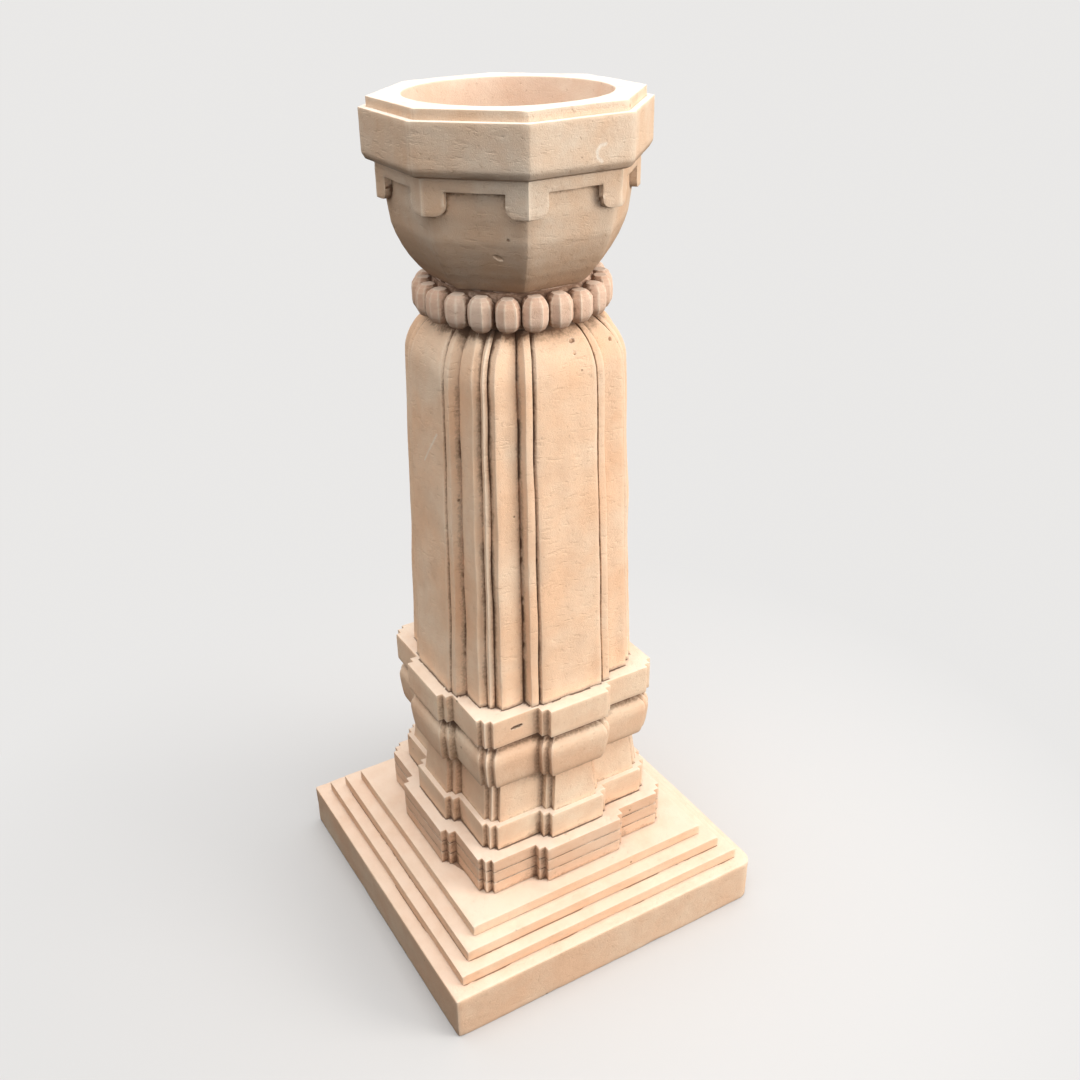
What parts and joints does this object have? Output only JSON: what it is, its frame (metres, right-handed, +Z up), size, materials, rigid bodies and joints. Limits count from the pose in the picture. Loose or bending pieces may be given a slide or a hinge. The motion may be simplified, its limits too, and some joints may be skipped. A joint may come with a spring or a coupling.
{
  "type": "tulsi vrindavan planter",
  "caption": "Carved sandstone pedestal planter for holy basil: stepped square base, moulded courses, fluted tapering shaft, bead ring and an octagonal lift-off bowl.",
  "frame": {"origin": "middle of the base slab's underside, on the floor", "axes": "+Z up through the shaft's middle, -Y out of the front face, +X to the front face's right"},
  "size_m": [0.406, 0.406, 0.916],
  "materials": {
    "sandstone": "matt",
    "bedding_mortar": "matt",
    "pin_steel": "satin"
  },
  "bodies": {
    "pedestal": {"base_slab": "sandstone", "step_slab_lower": "sandstone", "step_slab_middle": "sandstone", "step_slab_upper": "sandstone", "plinth_slab_lower": "sandstone", "plinth_slab_middle": "sandstone", "plinth_slab_upper": "sandstone", "foot_course": "sandstone", "torus_course": "sandstone", "cap_course": "sandstone", "shaft": "sandstone", "bead_ring": "sandstone", "mortar_under_step_slab_lower": "bedding_mortar", "mortar_under_step_slab_middle": "bedding_mortar", "mortar_under_step_slab_upper": "bedding_mortar", "mortar_under_plinth_slab_lower": "bedding_mortar", "mortar_under_plinth_slab_middle": "bedding_mortar", "mortar_under_plinth_slab_upper": "bedding_mortar", "mortar_under_foot_course": "bedding_mortar", "mortar_under_torus_course": "bedding_mortar", "mortar_under_cap_course": "bedding_mortar", "mortar_under_shaft": "bedding_mortar", "mortar_under_bead_ring": "bedding_mortar", "core_pin": "pin_steel", "neck_pins": "pin_steel"},
    "bowl": {"bowl": "sandstone"}
  },
  "joints": [
    {"name": "bowl_lift", "type": "slide", "parent": "pedestal", "child": "bowl", "axis": [0, 0, 1], "range_m": [0, 0.06]}
  ]
}
